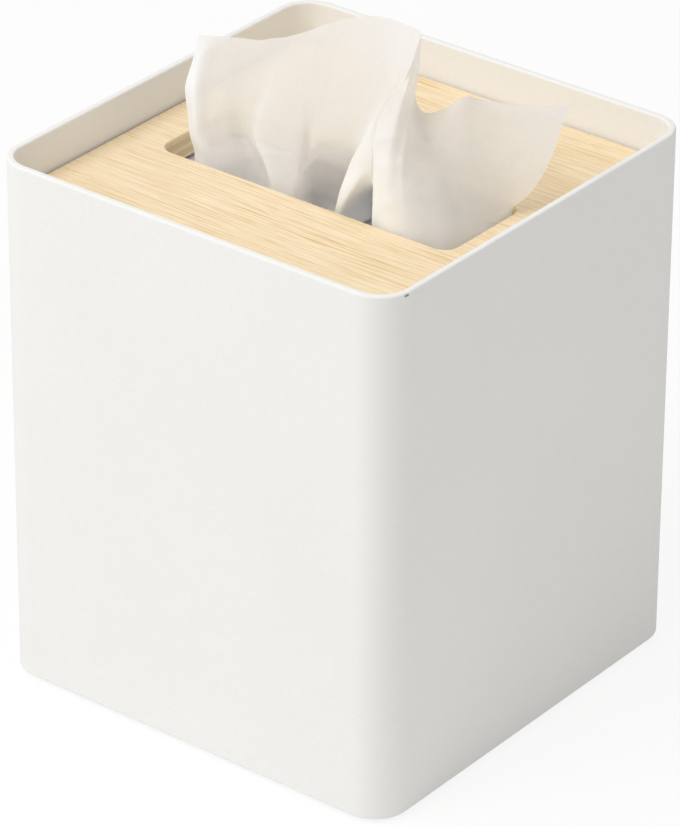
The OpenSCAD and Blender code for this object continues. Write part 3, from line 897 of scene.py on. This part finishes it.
@dataclass
class TissuePile:
    """The pile of folded tissues in the carton.

    Attributes:
        sheet: Thickness of one folded tissue as it shows on the pile's side, in millimetres.
        groove: Depth of the groove between two folded edges, in millimetres.
        corner: Radius of the pile's corners in plan, in millimetres.
        shoulder: Radius of its upper and lower edges, in millimetres.
        around: Grid columns round the pile.
        rows_each: Grid rows on each folded tissue.
        rings: Grid rings on the top and on the bottom.
    """

    sheet: float = 2.2
    groove: float = 0.5
    corner: float = 15.0
    shoulder: float = 1.5
    around: int = 256
    rows_each: int = 4
    rings: int = 10

    def build(self) -> bpy.types.Object:
        """Makes the pile and lets it stand for its plain solid.

        Returns:
            The pile's object.
        """
        low, high = (corner / MM for corner in node_box("tissue_stack"))
        half = (high[:2] - low[:2]) / 2
        middle = (high[:2] + low[:2]) / 2
        outline = self._outline(half)
        rim, inner = self._profile(low[2], high[2])
        turn = np.linspace(0.0, math.tau, self.around + 1)[:, None]
        inset = inner[None] + 0.16 * np.sin(7 * turn + rim / 5) + 0.1 * np.sin(17 * turn - rim / 3)
        scale = np.clip(1.0 - (inset + 0.26) / half.min(), 0.0, 1.0)
        swell = 0.25 * np.sin(outline[:, :1] / 14) * (inner > self.shoulder) * (rim > middle.mean() + 10)
        x = middle[0] + outline[:, :1] * scale
        y = middle[1] + outline[:, 1:] * scale
        z = np.clip(rim + swell - 0.25 * (inner > self.shoulder), low[2], high[2])
        points = np.stack(np.broadcast_arrays(x, y, z), -1)
        pile = grid_mesh("tissue_pile", points * MM)
        weld(pile)
        pile.data.materials.append(TissuePaper().build("pile_paper"))
        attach(pile, BODY)
        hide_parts("tissue_stack")
        log.info("%s: %d faces", pile.name, len(pile.data.polygons))
        return pile

    def _outline(self, half: np.ndarray) -> np.ndarray:
        """A square with rounded corners, walked anticlockwise in even steps.

        The walk runs along a square of half size less the corner's radius and leans out by the
        radius, in the direction that turns only at the corners.

        Args:
            half: Half the width and half the depth, in millimetres.

        Returns:
            Points in plan, in millimetres, of shape (around + 1, 2). The last meets the first.
        """
        core = half - self.corner
        arc = self.corner * math.pi / 2
        sides = np.array([2 * core[1], arc, 2 * core[0], arc] * 2)
        marks = np.insert(np.cumsum(sides), 0, 0.0)
        at = np.linspace(0.0, marks[-1], self.around + 1)
        angle = np.interp(at, marks, math.pi / 2 * np.array([0, 0, 1, 1, 2, 2, 3, 3, 4]))
        corners = core * np.array([(1, -1), (1, 1), (1, 1), (-1, 1), (-1, 1),
                                   (-1, -1), (-1, -1), (1, -1), (1, -1)])
        base = np.column_stack([np.interp(at, marks, corners[:, 0]), np.interp(at, marks, corners[:, 1])])
        return base + self.corner * np.column_stack([np.cos(angle), np.sin(angle)])

    def _profile(self, low: float, high: float) -> tuple[np.ndarray, np.ndarray]:
        """Half section of the pile, from the middle of its bottom to the middle of its top.

        The side is a row of half rounds, one for each folded tissue, and both ends round off.

        Args:
            low: Height of the bottom, in millimetres.
            high: Height of the top, in millimetres.

        Returns:
            Height of each row, and its distance inside the outline.
        """
        count = int((high - low) / self.sheet)
        up = np.linspace(low, high, count * self.rows_each + 1)
        swing = np.abs(np.cos(math.pi * (up - low) / (high - low) * count))
        end = np.minimum(up - low, high - up)
        lean = self.shoulder - np.sqrt(np.maximum(
            self.shoulder ** 2 - np.maximum(self.shoulder - end, 0.0) ** 2, 0.0))
        side = self.groove * swing ** 4 + lean
        spread = 60.0 * np.linspace(1.0, 0.0, self.rings, endpoint=False) ** 0.9
        inner = np.concatenate([spread + side[0], side, spread[::-1] + side[-1]])
        height = np.concatenate([np.full(self.rings, low), up, np.full(self.rings, high)])
        return height, inner


# --------------------------------------------------------------------------------------------
# Studio
# --------------------------------------------------------------------------------------------


@dataclass
class Studio:
    """The camera, the lights, the floor and the backdrop.

    Attributes:
        azimuth: Turn of the camera from the front towards the right, in degrees.
        elevation: Height of the camera above level, in degrees.
        roll: Tilt of the camera round its own line of sight, in degrees.
        distance: Distance of the camera from its aim.
        lens: Focal length, in millimetres, on a sensor 36 mm long.
        aim: The point that the camera looks at.
        sky: Strength of the light from all round.
        sky_colour: Its colour, a little warm.
        key_power: Power of the lamp, in watts.
        key_colour: Its colour, a little cool.
        key_size: Width of the lamp's disk.
        key_from: Place of the lamp.
        floor_reach: Half the width of the floor.
        floor_colour: Linear colour of the floor.
        floor_glow: How far the floor shows as plain white to the camera and in reflections.
    """

    azimuth: float = 38.04
    elevation: float = 29.17
    roll: float = 0.37
    distance: float = 1.427
    lens: float = 233.6
    aim: tuple[float, float, float] = (0.0044, -0.0063, 0.0779)
    sky: float = 0.60
    sky_colour: Colour = (1.0, 0.985, 0.955)
    key_power: float = 15.3
    key_colour: tuple[float, float, float] = (0.975, 0.99, 1.0)
    key_size: float = 1.2
    key_from: tuple[float, float, float] = (-0.39, -0.84, 1.50)
    floor_reach: float = 6.0
    floor_colour: Colour = (0.93, 0.93, 0.93)
    floor_glow: float = 0.86

    def build(self) -> None:
        """Sets up everything round the object."""
        self._camera()
        self._world()
        self._key()
        self._floor()
        scene = bpy.context.scene
        scene.view_settings.view_transform = "Standard"

    def _camera(self) -> None:
        """Places the camera from its turn, height and distance."""
        turn, lift, tilt = (math.radians(a) for a in (self.azimuth, self.elevation, self.roll))
        back = Vector((math.sin(turn) * math.cos(lift), -math.cos(turn) * math.cos(lift), math.sin(lift)))
        level = Vector((math.cos(turn), math.sin(turn), 0.0))
        rise = back.cross(level)
        right = level * math.cos(tilt) + rise * math.sin(tilt)
        up = rise * math.cos(tilt) - level * math.sin(tilt)
        data = bpy.data.cameras.new("camera")
        data.lens = self.lens
        data.sensor_width = 36.0
        data.clip_end = 20.0
        camera = bpy.data.objects.new("camera", data)
        turn_matrix = Matrix((right, up, back)).transposed().to_4x4()
        camera.matrix_world = Matrix.Translation(Vector(self.aim) + back * self.distance) @ turn_matrix
        bpy.context.scene.collection.objects.link(camera)
        bpy.context.scene.camera = camera

    def _world(self) -> None:
        """A soft white room: white to the camera and through clear surfaces, dimmer as a lamp."""
        world = bpy.data.worlds.new("studio_sky")
        world.use_nodes = True
        tree = world.node_tree
        tree.nodes.clear()
        path = tree.nodes.new("ShaderNodeLightPath")
        seen = tree.nodes.new("ShaderNodeMath")
        seen.operation = "MAXIMUM"
        tree.links.new(path.outputs["Is Camera Ray"], seen.inputs[0])
        tree.links.new(path.outputs["Is Transmission Ray"], seen.inputs[1])
        lamp = tree.nodes.new("ShaderNodeBackground")
        lamp.inputs["Strength"].default_value = self.sky
        white = tree.nodes.new("ShaderNodeBackground")
        lamp.inputs["Color"].default_value = (*self.sky_colour, 1.0)
        white.inputs["Color"].default_value = (1.0, 1.0, 1.0, 1.0)
        both = tree.nodes.new("ShaderNodeMixShader")
        output = tree.nodes.new("ShaderNodeOutputWorld")
        tree.links.new(seen.outputs[0], both.inputs[0])
        tree.links.new(lamp.outputs[0], both.inputs[1])
        tree.links.new(white.outputs[0], both.inputs[2])
        tree.links.new(both.outputs[0], output.inputs[0])
        bpy.context.scene.world = world

    def _key(self) -> None:
        """A wide soft lamp, in front, to the left and above."""
        data = bpy.data.lights.new("key_lamp", "AREA")
        data.energy = self.key_power
        data.color = self.key_colour
        data.shape = "DISK"
        data.size = self.key_size
        lamp = bpy.data.objects.new("key_lamp", data)
        lamp.location = self.key_from
        lamp.rotation_euler = (Vector((0.0, 0.0, 0.08)) - lamp.location).to_track_quat("-Z", "Y").to_euler()
        bpy.context.scene.collection.objects.link(lamp)

    def _floor(self) -> None:
        """A wide pale floor."""
        reach = self.floor_reach
        corners = np.array([[[-reach, -reach, 0.0], [-reach, reach, 0.0]],
                            [[reach, -reach, 0.0], [reach, reach, 0.0]]])
        floor = grid_mesh("studio_floor", corners)
        n = Nodes("studio_floor")
        dust = n.noise(n.place(), 40.0, 2.0)
        colour = n.mix(dust, self.floor_colour, tuple(c * 0.995 for c in self.floor_colour))
        paint = n.add("BsdfPrincipled", {"Base Color": colour, "Roughness": 0.9, "Specular IOR Level": 0.1})
        glow = n.add("Emission", {"Color": (1.0, 1.0, 1.0, 1.0), "Strength": 1.0})
        path = n.add("LightPath").outputs
        seen = n.maths("MAXIMUM", path["Is Camera Ray"], n.maths("MAXIMUM", path["Is Glossy Ray"],
                                                                 path["Is Transmission Ray"]))
        share = n.maths("MULTIPLY", seen, self.floor_glow)
        shader = n.add("MixShader", {0: share, 1: paint.outputs[0], 2: glow.outputs[0]})
        floor.data.materials.append(n.finish(shader.outputs[0]))


def main() -> None:
    """Builds the pieces in order and reports each."""
    logging.basicConfig(level=logging.INFO, format="%(name)s: %(message)s")
    Studio().build()
    Case().dress()
    Lid().dress()
    Carton().dress()
    TissuePile().build()
    PulledTissue().build()


if __name__ == "__main__":
    main()
